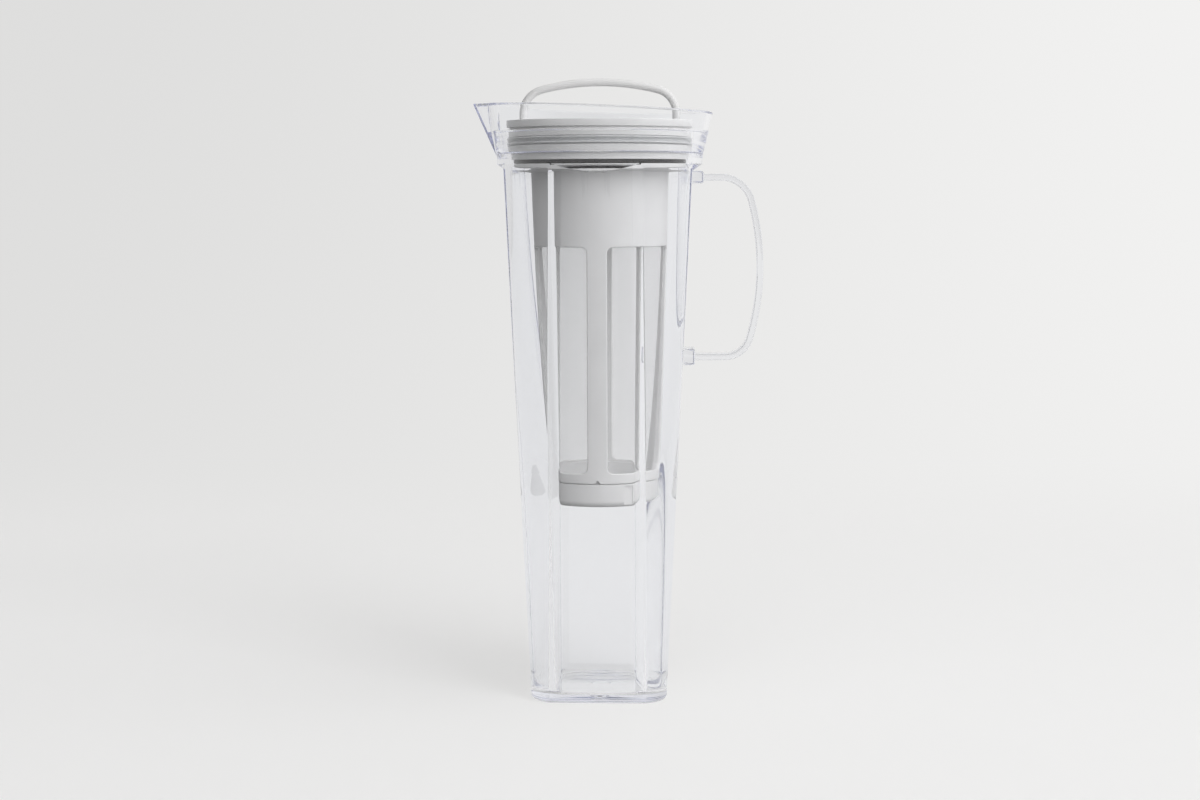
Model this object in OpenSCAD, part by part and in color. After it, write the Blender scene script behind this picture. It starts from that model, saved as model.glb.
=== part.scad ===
// Cold brew coffee pitcher: a clear tapering jug with a funnel mouth and a pouring spout,
// a plug lid with a folding bail, and a mesh strainer that hangs in the neck.
// Millimetres, +Z up, origin at the middle of the base, spout towards -X, handle towards +X.

/* [Jug body] */
// Height of the tapering body, from the table to the foot of the funnel
body_h = 262; // [240:1:290]
// Radius of the rounded corners at the table
corner_r_base = 40.5; // [39:0.1:41.5]
// Radius of the rounded corners at the foot of the funnel
corner_r_top = 49.8; // [49:0.1:52]
// Distance from the axis to each flat side at the table
flat_base = 32.7; // [31:0.1:34]
// Distance from the axis to each flat side at the foot of the funnel
flat_top = 45.2; // [44.6:0.1:46.5]
// Depth of the flats' top edge below the foot of the funnel
flat_drop = 6.9; // [4:0.1:9]
// Height over which each flat runs out into the round neck
flat_runout = 3.6; // [2:0.1:5]
// Wall of the flat sides at the floor
wall_base = 3; // [2:0.1:4]
// Wall of the corners at the floor
corner_wall_base = 5.9; // [4.5:0.1:7]
// Wall of the flat sides under the strainer seat
wall_top = 4.8; // [3.5:0.1:5.4]
// Thickness of the floor
floor_t = 4; // [3:0.1:6]
// Rounding of the outer bottom edge
foot_round = 3.2; // [1:0.1:4.5]
// Rounding of the inner bottom edge
floor_round = 2.6; // [1:0.1:5]
// Depth of the hollow under the floor
foot_recess = 0.8; // [0.4:0.1:1.4]
// Width of the ring that the jug stands on, across a flat
foot_ring_w = 6; // [4:0.1:10]

/* [Neck] */
// Bore of the neck, which the strainer's flange passes
neck_r = 43.4; // [42.6:0.1:44]
// Bore that the lid plugs into
lid_bore_r = 45.2; // [44.9:0.1:46]
// Depth of the strainer seat below the foot of the funnel
strainer_seat_drop = 5.8; // [4.5:0.1:8]
// Height of the lid seat above the foot of the funnel
lid_seat_rise = 2.8; // [2.4:0.1:5]
// Height of the lid bore
lid_bore_h = 10.2; // [9.6:0.1:12]

/* [Funnel and spout] */
// Mean height of the rim above the foot of the funnel
rim_rise = 23.6; // [21:0.1:32]
// Radius of the funnel at the mean height of the rim
rim_r = 55.3; // [53.5:0.1:58]
// Fall of the rim from the spout towards the handle, in degrees
rim_tilt = 2.26; // [0:0.01:4]
// Wall of the funnel
funnel_wall = 2.6; // [1.8:0.1:3.2]
// Distance from the axis to the tip of the spout
spout_reach = 61.5; // [60:0.1:66]
// Width of the spout between its roots at the rim
spout_w = 40; // [30:1:44]

/* [Jug handle] */
// Depth of the upper run's middle below the foot of the funnel
handle_drop = 9.7; // [8:0.1:16]
// Distance between the middles of the upper and lower runs
handle_span = 86.6; // [70:0.1:110]
// Distance from the axis to the outside of the grip
handle_reach = 79.2; // [74:0.1:92]
// Thickness of the strap
strap_t = 3.4; // [2.4:0.1:4.2]
// Width of the strap
strap_w = 14; // [10:0.5:20]
// Radius of the gentle outer curve of the grip
grip_r = 125; // [90:1:180]
// Outer radius of the upper bend
upper_bend_r = 17; // [12:0.5:24]
// Outer radius of the lower bend
lower_bend_r = 14; // [10:0.5:22]
// Length of the blocks at the strap's ends, which are bonded to the jug
block_len = 5.6; // [4.5:0.1:8]
// Height of the upper block
upper_block_h = 6; // [5.4:0.1:8]
// Height of the lower block
lower_block_h = 8; // [5.4:0.1:10]
// Rounding of the blocks' long edges
block_round = 1.4; // [0.6:0.1:2.4]
// Depth to which the strap runs into each block
strap_bite = 3.6; // [2:0.1:4]
// Gap for the bond between each block and the jug
bond_gap = 0.05; // [0.02:0.01:0.1]

/* [Lid] */
// Height of the lid wall below the flange
lid_wall_h = 11.5; // [10.6:0.1:13]
// Thickness of the flange
lid_flange_t = 3.5; // [3:0.1:5]
// Overhang of the flange beyond the lid wall
lid_flange_w = 0.6; // [0.4:0.1:1.2]
// Gap between the lid wall and the bore
lid_gap = 0.8; // [0.5:0.1:1.1]
// Wall around the dished top
dish_wall = 3.2; // [2.8:0.1:4]
// Depth of the dished top
dish_depth = 6.2; // [6:0.1:7]
// Thickness of the lid's floor
lid_floor_t = 1.8; // [1.2:0.1:2.4]
// Thickness of the skirt below the floor
skirt_t = 4.4; // [3.8:0.1:5.5]
// Gap between the lid's nose and the neck
nose_gap = 0.6; // [0.4:0.1:1]

/* [Gasket] */
// Height of the gasket
gasket_h = 4; // [3:0.1:4.6]
// Height of the gasket groove above the lid's lower edge
gasket_rise = 3.7; // [3:0.1:4.2]
// Depth of the gasket groove
gasket_groove = 1.8; // [1.4:0.1:2.2]
// Gap between the gasket's lips and the bore
gasket_fit = 0.05; // [0.02:0.01:0.09]

/* [Lower seal] */
// Height of the dark seal under the lid's nose, which presses on the strainer's flange
seal_h = 2.6; // [1.6:0.1:3.4]
// Step from the lid's nose in to the seal
seal_inset = 1.2; // [0.6:0.1:2]
// Width of the seal
seal_w = 5; // [3:0.1:7]

/* [Bail] */
// Height of the bail's top above its pivots
bail_h = 23.4; // [20:0.1:30]
// Diameter of the bail rod
bail_d = 4.2; // [3.4:0.1:5]
// Distance from the axis to the middle of each leg
bail_leg_x = 37; // [34:0.1:37.4]
// Radius of the middle line along the top
bail_top_r = 115; // [90:1:200]
// Radius of the middle line round the corners
bail_corner_r = 12; // [8:0.5:15]
// Diameter of the pivot pins
bail_pin_d = 3; // [2.4:0.1:3.4]
// Gap round the pivot pins
bail_pin_fit = 0.05; // [0.02:0.01:0.09]

/* [Strainer] */
// Length of the strainer tube below its flange
tube_h = 149.2; // [120:0.1:160]
// Outer radius of the tube under the flange
tube_r_top = 33.4; // [32.4:0.1:35]
// Outer radius of the tube at its lower end
tube_r_base = 31; // [30:0.1:31.8]
// Wall of the tube
tube_wall = 1.8; // [1.4:0.1:2.4]
// Gap between the strainer's flange and the neck
flange_gap = 0.5; // [0.3:0.1:0.8]
// Thickness of the strainer's flange
flange_t = 2; // [1.4:0.1:2.6]
// Height of the solid band above the windows
band_h = 36.7; // [25:0.1:60]
// Height of the ring below the windows
ring_h = 4.5; // [3:0.1:8]
// Width of the ribs between the windows
rib_w = 9.6; // [6:0.1:14]
// Rounding of the window corners
window_round = 3; // [1:0.1:5]
// Thickness of the mesh
mesh_t = 0.5; // [0.3:0.1:0.8]
// Gap between the mesh and the window's edges
mesh_gap = 0.05; // [0.02:0.01:0.1]

/* [Strainer base] */
// Height of the base cap below the tube
cap_h = 11.6; // [9:0.1:16]
// Step from the tube in to the base cap
cap_inset = 0.2; // [0.1:0.1:0.6]
// Rounding of the cap's lower edge
cap_round = 3; // [1:0.1:4]
// Thickness of the cap's floor
cap_floor_t = 2; // [1.4:0.1:3]
// Height of the spigot that holds the cap in the tube
spigot_h = 3.6; // [2:0.1:4]
// Thickness of the spigot
spigot_t = 2; // [1.4:0.1:2.6]
// Gap between the spigot and the tube
spigot_fit = 0.06; // [0.02:0.01:0.1]
// Width of the thumb recess in the cap
thumb_w = 5; // [3:0.1:9]
// Depth of the thumb recess in the cap
thumb_depth = 0.7; // [0.3:0.1:1]
// Turn of the thumb recess from the front rib, in degrees
thumb_turn = 29; // [15:1:75]

/* [Hidden] */
$fn = 96;

// Overrun of cutting tools
over = 1;
// Reach of cutting tools that take away everything past a plane
reach = 2 * body_h;
sides = [0, 90, 180, 270];
// Share of its radius by which a rounding stops short of running smoothly into its faces
round_ease = 0.06;
// Rounding under the corners as a share of that under the flats
corner_round_share = 0.8;

// Heights
strainer_seat_z = body_h - strainer_seat_drop;
lid_seat_z = body_h + lid_seat_rise;
step_z = lid_seat_z + lid_bore_h;
rim_z = body_h + rim_rise;
rim_slope = tan(rim_tilt);
tip_z = rim_z + rim_slope * spout_reach;
funnel_top_z = tip_z + over;

// Funnel and spout
funnel_slope = (rim_r - corner_r_top) / rim_rise;
tip_r = funnel_r(tip_z);
spout_lean = atan2(spout_reach - corner_r_top, tip_z - body_h);
root_x = sqrt(tip_r * tip_r - spout_w * spout_w / 4);
root_depth = (corner_r_top - root_x) * cos(spout_lean) + (tip_z - body_h) * sin(spout_lean);
spout_half_angle = atan2(spout_w / 2, root_depth);

// Inside of the body
cavity_h = strainer_seat_z - floor_t;
cavity_corner_base = corner_r_base - corner_wall_base;
cavity_flat_base = flat_base - wall_base;
cavity_flat_top = flat_at(strainer_seat_z) - wall_top;

// Handle
upper_run_z = body_h - handle_drop;
lower_run_z = upper_run_z - handle_span;
block_w = strap_w + strap_t;
strap_top_z = upper_run_z + strap_t / 2;
strap_bottom_z = lower_run_z - strap_t / 2;
grip_x = handle_reach - grip_r;
grip_z = (strap_top_z + strap_bottom_z) / 2;
upper_bend_z = strap_top_z - upper_bend_r;
lower_bend_z = strap_bottom_z + lower_bend_r;
upper_bend_turn = asin((upper_bend_z - grip_z) / (grip_r - upper_bend_r));
lower_bend_turn = asin((grip_z - lower_bend_z) / (grip_r - lower_bend_r));
upper_bend_x = grip_x + (grip_r - upper_bend_r) * cos(upper_bend_turn);
lower_bend_x = grip_x + (grip_r - lower_bend_r) * cos(lower_bend_turn);
bend_steps = 12;

// Lid
lid_r = lid_bore_r - lid_gap;
lid_flange_r = lid_r + lid_flange_w;
lid_flange_z = lid_seat_z + lid_wall_h;
lid_top_z = lid_flange_z + lid_flange_t;
dish_r = lid_flange_r - dish_wall;
dish_z = lid_top_z - dish_depth;
skirt_r = lid_r - skirt_t;
edge_break = 0.8;
gasket_z = lid_seat_z + gasket_rise;
groove_r = lid_r - gasket_groove;
lip_r = lid_bore_r - gasket_fit;
// Height of each gasket lip as a share of the gasket's height
lip_share = 0.25;
// Depth of the gasket between its lips as a share of the groove's depth
gasket_neck_share = 0.25;
nose_r = neck_r - nose_gap;
flange_top_z = strainer_seat_z + flange_t;
nose_z = flange_top_z + seal_h;
seal_r = nose_r - seal_inset;
nose_in_r = seal_r - seal_w;

// Bail
bail_r = bail_d / 2;
// Slight swelling of the rod where a bend begins
bail_swell = 0.03;
hub_swell = 0.4;
hub_r = bail_r + hub_swell;
hub_gap = 0.4;
pivot_z = dish_z + hub_r + hub_gap;
bail_mid_z = pivot_z + bail_h - bail_r;
corner_x = bail_leg_x - bail_corner_r;
arch_turn = asin(corner_x / (bail_top_r - bail_corner_r));
corner_z = bail_mid_z - bail_top_r + (bail_top_r - bail_corner_r) * cos(arch_turn);
hub_end = dish_r - 2 * hub_gap;
pin_share = 0.55;
pin_end = dish_r + pin_share * (lid_r - dish_r);

// Strainer
flange_r = neck_r - flange_gap;
tube_z = strainer_seat_z - tube_h;
window_z = tube_z + ring_h;
window_h = tube_h - band_h - ring_h;
tube_slope = (tube_r_top - tube_r_base) / tube_h;
mesh_inset = (tube_wall - mesh_t) / 2;
cap_r = tube_r_base - cap_inset;
cap_z = tube_z - cap_h;
spigot_r = tube_r_base - tube_wall - spigot_fit;

// Outer radius of the funnel at height z
function funnel_r(z) = corner_r_top + funnel_slope * (z - body_h);

// Distance from the axis to the outer flats at height z
function flat_at(z) = flat_base + (flat_top - flat_base) * z / body_h;

// Radius of the outer corners at height z
function corner_at(z) = corner_r_base + (corner_r_top - corner_r_base) * z / body_h;

// Points along an arc from one angle to another
function arc(x, y, r, from, to) = [
    for (i = [0:bend_steps])
        let (turn = from + (to - from) * i / bend_steps)
        [x + r * cos(turn), y + r * sin(turn)]
];

// One edge of the strap, inset from its outer edge
function strap_edge(inset, upper_x, lower_x) = concat(
    [[upper_x, strap_top_z - inset]],
    arc(upper_bend_x, upper_bend_z, upper_bend_r - inset, 90, upper_bend_turn),
    arc(grip_x, grip_z, grip_r - inset, upper_bend_turn, -lower_bend_turn),
    arc(lower_bend_x, lower_bend_z, lower_bend_r - inset, -lower_bend_turn, -90),
    [[lower_x, strap_bottom_z + inset]]
);

// What a rounding takes off the bottom edge of a wall that leans out from base_x
module edge_off(base_x, lean, round_r) {
    ease = round_ease * round_r;
    mid_x = base_x + round_r * tan(lean) - round_r / cos(lean) + ease;
    mid_z = round_r - ease;
    difference() {
        translate([mid_x, -over])
            square([round_r + over, mid_z + over]);
        translate([mid_x, mid_z])
            circle(round_r);
    }
}

// Everything past the flat side that faces +X
module past_flat(base_d, top_d, h) {
    translate([base_d, 0, 0])
        rotate([0, atan2(top_d - base_d, h), 0])
            translate([0, -reach / 2, -reach / 2])
                cube([reach, reach, 2 * reach]);
}

// Everything past the four flat sides
module past_flats(base_d, top_d, h) {
    for (turn = sides)
        rotate([0, 0, turn])
            past_flat(base_d, top_d, h);
}

// What rounds off the bottom edge of a cone with four flats
module bottom_rounding(base_r, top_r, base_d, top_d, h, round_r) {
    rotate_extrude()
        edge_off(base_r, atan2(top_r - base_r, h), round_r * corner_round_share);
    for (turn = sides)
        rotate([90, 0, turn])
            translate([0, 0, -base_r])
                linear_extrude(2 * base_r)
                    edge_off(base_d, atan2(top_d - base_d, h), round_r);
}

// Prism with a V section whose ridge runs from the foot of the funnel to the spout's tip
module spout_prism(inset) {
    depth = root_depth + over;
    half = depth * tan(spout_half_angle);
    translate([-corner_r_top, 0, body_h])
        rotate([0, -spout_lean, 0])
            translate([inset / sin(spout_half_angle), 0, -reach / 4])
                linear_extrude(reach / 2)
                    polygon([[0, 0], [depth, half], [depth, -half]]);
}

// A prism kept above height z
module above(z) {
    intersection() {
        children();
        translate([-reach / 2, -reach / 2, z])
            cube([reach, reach, reach]);
    }
}

// Cone of the body and the funnel above it
module jug_outside() {
    rotate_extrude()
        polygon([
            [0, 0], [corner_r_base, 0], [corner_r_top, body_h],
            [funnel_r(funnel_top_z), funnel_top_z], [0, funnel_top_z]
        ]);
    above(body_h)
        spout_prism(0);
}

// Flare at the top of the flats, which turns them back into the round neck
module flat_flare() {
    flare_z = body_h - flat_drop;
    flare_r = flat_at(flare_z);
    flare_slope = (corner_at(flare_z + flat_runout) - flare_r) / flat_runout;
    flare_h = funnel_top_z + over - flare_z;
    translate([0, 0, flare_z])
        cylinder(h = flare_h, r1 = flare_r, r2 = flare_r + flare_slope * flare_h);
}

// Space inside the jug, from the floor to the sky
module jug_inside() {
    translate([0, 0, floor_t])
        difference() {
            cylinder(h = cavity_h, r1 = cavity_corner_base, r2 = neck_r);
            past_flats(cavity_flat_base, cavity_flat_top, cavity_h);
            bottom_rounding(
                cavity_corner_base, neck_r, cavity_flat_base, cavity_flat_top, cavity_h, floor_round
            );
        }
    translate([0, 0, strainer_seat_z])
        cylinder(h = lid_seat_z - strainer_seat_z + over / 2, r = neck_r);
    translate([0, 0, lid_seat_z])
        cylinder(h = lid_bore_h + over / 2, r = lid_bore_r);
    rotate_extrude()
        polygon([
            [0, step_z], [funnel_r(step_z) - funnel_wall, step_z],
            [funnel_r(funnel_top_z) - funnel_wall, funnel_top_z],
            [funnel_r(funnel_top_z) - funnel_wall, funnel_top_z + over], [0, funnel_top_z + over]
        ]);
    above(step_z)
        spout_prism(funnel_wall);
}

// Everything above the tilted rim
module above_rim() {
    translate([0, 0, rim_z])
        rotate([0, rim_tilt, 0])
            translate([-reach / 2, -reach / 2, 0])
                cube([reach, reach, reach]);
}

module jug_body() {
    color([0.93, 0.95, 0.98, 0.35])
        difference() {
            jug_outside();
            difference() {
                past_flats(flat_base, flat_top, body_h);
                flat_flare();
            }
            bottom_rounding(corner_r_base, corner_r_top, flat_base, flat_top, body_h, foot_round);
            jug_inside();
            above_rim();
            translate([0, 0, -over])
                cylinder(h = foot_recess + over, r = flat_base - foot_ring_w);
        }
}

// Block at one end of the strap, cut to the lean of the jug's side
module handle_block(z, h) {
    intersection() {
        translate([0, -block_w / 2, z - h / 2])
            rotate([90, 0, 90])
                linear_extrude(flat_at(z) + block_len)
                    rounded(block_w, h, block_round);
        past_flat(flat_base + bond_gap, flat_top + bond_gap, body_h);
    }
}

module jug_handle() {
    upper_x = flat_at(upper_run_z) + block_len - strap_bite;
    lower_x = flat_at(lower_run_z) + block_len - strap_bite;
    outer = strap_edge(0, upper_x, lower_x);
    inner = strap_edge(strap_t, upper_x, lower_x);
    color([0.93, 0.95, 0.98, 0.35])
        union() {
            rotate([90, 0, 0])
                translate([0, 0, -strap_w / 2])
                    linear_extrude(strap_w)
                        polygon(concat(outer, [for (i = [len(inner) - 1:-1:0]) inner[i]]));
            handle_block(upper_run_z, upper_block_h);
            handle_block(lower_run_z, lower_block_h);
        }
}

module lid_cover() {
    color([0.78, 0.79, 0.80])
        difference() {
            rotate_extrude()
                polygon([
                    [nose_in_r, nose_z], [nose_r, nose_z], [nose_r, lid_seat_z],
                    [lid_r, lid_seat_z], [lid_r, gasket_z],
                    [groove_r, gasket_z], [groove_r, gasket_z + gasket_h], [lid_r, gasket_z + gasket_h],
                    [lid_r, lid_flange_z], [lid_flange_r, lid_flange_z],
                    [lid_flange_r, lid_top_z - edge_break], [lid_flange_r - edge_break, lid_top_z],
                    [dish_r + edge_break, lid_top_z], [dish_r, lid_top_z - edge_break],
                    [dish_r, dish_z], [0, dish_z], [0, dish_z - lid_floor_t],
                    [skirt_r, dish_z - lid_floor_t], [skirt_r, lid_seat_z], [nose_in_r, lid_seat_z]
                ]);
            translate([0, 0, pivot_z])
                rotate([0, 90, 0])
                    cylinder(h = 2 * pin_end + over / 2, d = bail_pin_d + 2 * bail_pin_fit, center = true);
        }
}

module lid_gasket() {
    body_r = lid_r - gasket_groove * gasket_neck_share;
    lip_h = gasket_h * lip_share;
    lower_lip_z = lip_h / 2;
    upper_lip_z = gasket_h - lip_h - lower_lip_z;
    color([0.86, 0.87, 0.88])
        translate([0, 0, gasket_z])
            rotate_extrude()
                polygon([
                    [groove_r, 0], [body_r, 0], [lip_r, lower_lip_z], [lip_r, lower_lip_z + lip_h / 2],
                    [body_r, lower_lip_z + lip_h], [body_r, upper_lip_z], [lip_r, upper_lip_z + lip_h / 2],
                    [lip_r, upper_lip_z + lip_h], [body_r, gasket_h], [groove_r, gasket_h]
                ]);
}

module lid_seal() {
    color([0.12, 0.12, 0.12])
        translate([0, 0, flange_top_z])
            rotate_extrude()
                polygon([
                    [nose_in_r, 0], [seal_r - seal_h / 2, 0], [seal_r, seal_h / 2], [seal_r, seal_h],
                    [nose_in_r, seal_h]
                ]);
}

// Leg, corner bend, hub and pivot pin on the +X side of the bail
module bail_side() {
    translate([bail_leg_x, 0, pivot_z])
        cylinder(h = corner_z - pivot_z, r = bail_r);
    translate([corner_x, 0, corner_z])
        rotate([90, 0, 0])
            rotate_extrude(angle = 90 - arch_turn)
                translate([bail_corner_r, 0])
                    circle(bail_r);
    for (bend_end = [0, 90 - arch_turn])
        translate([corner_x + bail_corner_r * cos(bend_end), 0, corner_z + bail_corner_r * sin(bend_end)])
            sphere(bail_r + bail_swell);
    translate([bail_leg_x - bail_r, 0, pivot_z])
        rotate([0, 90, 0])
            cylinder(h = hub_end - bail_leg_x + bail_r, r = hub_r);
    translate([bail_leg_x, 0, pivot_z])
        rotate([0, 90, 0])
            cylinder(h = pin_end - bail_leg_x, d = bail_pin_d);
}

module lid_bail() {
    color([0.74, 0.75, 0.76])
        union() {
            translate([0, 0, bail_mid_z - bail_top_r])
                rotate([90, 0, 0])
                    rotate([0, 0, 90 - arch_turn])
                        rotate_extrude(angle = 2 * arch_turn)
                            translate([bail_top_r, 0])
                                circle(bail_r);
            bail_side();
            mirror([1, 0, 0])
                bail_side();
        }
}

// Opening between two neighbouring ribs, inset from its edges
module window_cut(inset) {
    low = rib_w / 2 + inset;
    round_r = window_round - inset;
    h = window_h - 2 * inset;
    intersection() {
        translate([0, 0, window_z + inset])
            rotate([90, 0, 0])
                translate([0, 0, -reach / 4])
                    linear_extrude(reach / 2)
                        translate([low, 0])
                            rounded(tube_r_top, h, round_r);
        translate([0, 0, window_z + inset])
            rotate([90, 0, 90])
                translate([0, 0, -reach / 4])
                    linear_extrude(reach / 2)
                        translate([low, 0])
                            rounded(tube_r_top, h, round_r);
    }
}

// Rectangle with round corners, from its lower left corner
module rounded(w, h, r) {
    translate([r, 0])
        square([w - 2 * r, h]);
    translate([0, r])
        square([w, h - 2 * r]);
    for (x = [r, w - r])
        for (y = [r, h - r])
            translate([x, y])
                circle(r, $fn = 32);
}

// Conical shell between two depths below the outside of the tube
module tube_shell(outer_inset, inner_inset, h) {
    rotate_extrude()
        polygon([
            [tube_r_base - inner_inset, tube_z], [tube_r_base - outer_inset, tube_z],
            [tube_r_base - outer_inset + tube_slope * h, tube_z + h],
            [tube_r_base - inner_inset + tube_slope * h, tube_z + h]
        ]);
}

module strainer_frame() {
    color([0.80, 0.81, 0.82])
        union() {
            difference() {
                tube_shell(0, tube_wall, tube_h);
                for (turn = sides)
                    rotate([0, 0, turn])
                        window_cut(0);
            }
            translate([0, 0, strainer_seat_z])
                difference() {
                    cylinder(h = flange_t, r = flange_r);
                    translate([0, 0, -over])
                        cylinder(h = flange_t + 2 * over, r = tube_r_top - tube_wall);
                }
        }
}

// Mesh of one window, turned round from the rear right one
module mesh_panel(turn) {
    color([0.90, 0.91, 0.92, 0.6])
        rotate([0, 0, turn])
            intersection() {
                tube_shell(mesh_inset, mesh_inset + mesh_t, tube_h - band_h + ring_h);
                window_cut(mesh_gap);
            }
}

module strainer_base() {
    color([0.80, 0.81, 0.82])
        difference() {
            rotate_extrude()
                union() {
                    difference() {
                        translate([0, cap_z])
                            square([cap_r, cap_h]);
                        translate([0, cap_z])
                            edge_off(cap_r, 0, cap_round);
                        translate([0, cap_z + cap_floor_t])
                            square([spigot_r - spigot_t, cap_h]);
                    }
                    translate([spigot_r - spigot_t, tube_z - over])
                        square([spigot_t, spigot_h + over]);
                }
            rotate([0, 0, thumb_turn - 90])
                translate([cap_r - thumb_depth, -thumb_w / 2, cap_z - over])
                    cube([thumb_depth + over, thumb_w, cap_h - cap_round / 2]);
        }
}

jug_body();
jug_handle();
lid_cover();
lid_gasket();
lid_seal();
lid_bail();
strainer_frame();
mesh_panel(180);  // mesh_front_left
mesh_panel(270);  // mesh_front_right
mesh_panel(0);  // mesh_rear_right
mesh_panel(90);  // mesh_rear_left
strainer_base();
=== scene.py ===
"""Looks of a cold brew coffee pitcher: a clear jug, a grey plug lid with a bail and a mesh strainer."""

import math

import bmesh
import bpy
from mathutils import Matrix, Vector


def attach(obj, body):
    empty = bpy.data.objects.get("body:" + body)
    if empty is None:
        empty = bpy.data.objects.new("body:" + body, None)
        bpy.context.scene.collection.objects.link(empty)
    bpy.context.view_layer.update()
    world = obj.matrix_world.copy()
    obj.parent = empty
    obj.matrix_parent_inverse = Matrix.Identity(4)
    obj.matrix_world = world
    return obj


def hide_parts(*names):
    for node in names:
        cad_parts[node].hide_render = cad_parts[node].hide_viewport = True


MM = 0.001

# Camera, in millimetres and degrees
CAMERA_DISTANCE = 1067.0
CAMERA_HEIGHT = 248.0
CAMERA_AZIMUTH = 2.6
CAMERA_PITCH = 5.57
CAMERA_PAN = 0.01
CAMERA_ROLL = -0.15
CAMERA_LENS = 65.7
SENSOR_W = 36.0
CLIP_START = 10.0

# Jug, in millimetres. A pair is a size at the base and at the top
BODY_H = 262.0
CORNER_R = (40.5, 49.8)
CORNER_MID = 19.0
EDGE_HALF = (23.4, 22.3)
FLAT_D = (32.7, 45.2)
FLAT_DROP = 6.9
FLAT_RUNOUT = 3.6
EDGE_FILLET = 3.0
INNER_FILLET = 3.0
WALL = (3.0, 4.8)
CORNER_WALL = 5.9
FLOOR_T = 4.0
FOOT_ROUND = 3.2
FLOOR_ROUND = 2.6
FOOT_RECESS = 0.8
RECESS_R = 26.7
RECESS_LAND = 1.0
RECESS_SLANT = 0.6
GATE_R = 4.4
GATE_DEPTH = 0.5
GATE_SLANT = 0.5
UNDERSIDE_ROUND = 0.3
NECK_R = 43.4
LID_BORE_R = 45.2
NECK_ROUND = 0.35
SEAT_EDGE = 0.15
SEAT_Z = 256.2
LID_SEAT_Z = 264.8
STEP_Z = 275.0
STEP_LEDGE = 0.6
RIM_Z = 285.6
RIM_R = 55.3
RIM_SLOPE = math.tan(math.radians(2.26))
RIM_ROUND = 0.8
FUNNEL_WALL = 2.6
SPOUT_REACH = 61.5
SPOUT_W = 40.0
SPOUT_QUARTER = 2

# Handle, in millimetres. The pair is for the upper and the lower block
UPPER_RUN_Z = 252.3
LOWER_RUN_Z = 165.7
HANDLE_REACH = 79.2
STRAP_T = 3.4
STRAP_W = 14.0
STRAP_ROUND = 1.1
GRIP_R = 125.0
UPPER_BEND_R = 17.0
LOWER_BEND_R = 14.0
BLOCK_LEN = 5.6
BLOCK_W = 17.4
BLOCK_H = (6.0, 8.0)
BLOCK_ROUND = 1.4
# Steps of the bevel at a block's outer end, as (back from the end, off the width, off the height)
BLOCK_BEVEL = ((1.0, 0.0, 0.0), (0.3, 0.6, 0.5), (0.0, 1.6, 1.4))
STRAP_LEAD = 0.2
BOND_GAP = 0.05

# Lid, gasket, seal and bail, in millimetres
LID_R = 44.4
LID_FLANGE_R = 45.0
LID_FLANGE_Z = 276.3
LID_TOP_Z = 279.8
DISH_R = 41.8
DISH_Z = 273.6
LID_FLOOR_T = 1.8
LID_ROUND = 0.3
SKIRT_R = 40.0
NOSE_R = 42.8
NOSE_IN_R = 36.6
NOSE_Z = 260.8
GASKET_Z = 268.5
GASKET_H = 4.0
GROOVE_R = 42.6
LIP_R = 45.15
LIP_H = 0.5
GASKET_NECK = 1.0
GASKET_ROUND = 0.25
# Height and depth of the gap under the lid's flange
SHADOW_GAP = (0.7, 0.9)
SEAL_R = 41.6
SEAL_ROUND = 0.4
PIVOT_Z = 276.5
BAIL_TOP_Z = 299.9
BAIL_R = 1.9
BAIL_LEG_X = 37.0
BAIL_TOP_R = 115.0
BAIL_CORNER_R = 12.0
HUB_R = 2.5
HUB_END = 41.0
PIN_R = 1.5
PIN_END = 43.2
PIN_ROUND = 0.5

# Strainer, in millimetres and degrees. A pair goes from low to high
TUBE_Z = 107.0
TUBE_R = (31.0, 33.4)
TUBE_WALL = 1.8
FLANGE_R = 42.9
FLANGE_T = 2.0
FLANGE_FILLET = 0.8
FLANGE_LAP = 0.2
FLANGE_ROUND = 0.4
WINDOW_Z = (111.5, 219.5)
WINDOW_ROUND = 3.0
WINDOW_BREAK = 0.35
WINDOW_HEAD = 6.0
RIB_W = 9.6
RIB_RIDGE = 0.12
# Depth of the mesh's two faces behind the tube's outside
MESH_DEPTH = (0.65, 1.15)
MESH_GAP = 0.05
CAP_R = 30.8
CAP_Z = 95.4
CAP_ROUND = 3.0
CAP_FLOOR_T = 2.0
CAP_BREAK = 0.15
SEAM_H = 0.55
SEAM_DEPTH = 1.5
SPIGOT_R = 29.14
SPIGOT_T = 2.0
SPIGOT_H = 3.6
THUMB_TURN = 29.0
THUMB_HALF = 4.45
THUMB_DEPTH = 0.7
THUMB_TOP = 105.5
THUMB_STEP = 0.05
THUMB_STEP_TURN = 0.04

# Materials: two close shades of each plastic, noise per metre, and bumps as (strength, metres)
CLEAR_TINT = (0.985, 0.99, 1.0)
CLEAR_IOR = 1.56
CLEAR_DEEP = (0.64, 0.67, 0.86, 1)
CLEAR_DENSITY = 4.5
RIPPLE_SCALE = 26
RIPPLE_HEIGHT = 0.0006
HAZE_SCALE = 400
GREY = ((0.79, 0.791, 0.796), (0.83, 0.831, 0.836))
LID_GREY = ((0.77, 0.771, 0.776), (0.81, 0.811, 0.816))
BAIL_GREY = ((0.67, 0.67, 0.672), (0.71, 0.71, 0.712))
DRIFT_SCALE = 60
GRAIN_SCALE = 4500
GRAIN_BUMP = (0.12, 0.00004)
GRAIN_ROUGHNESS = 0.06
PALE_RUBBER = ((0.66, 0.67, 0.68), (0.72, 0.73, 0.74))
BLACK_RUBBER = ((0.008, 0.008, 0.008), (0.014, 0.014, 0.014))
BLOOM_SCALE = 300
BLOOM_BUMP = (0.1, 0.00005)
BLOOM_ROUGHNESS = 0.08
WEAVE_BASE = (0.80, 0.80, 0.81)
WEAVE = ((0.86, 0.86, 0.865), (0.92, 0.92, 0.925))
WEAVE_SCALE = 900.0
WEAVE_BUMP = (0.3, 0.00005)
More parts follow.
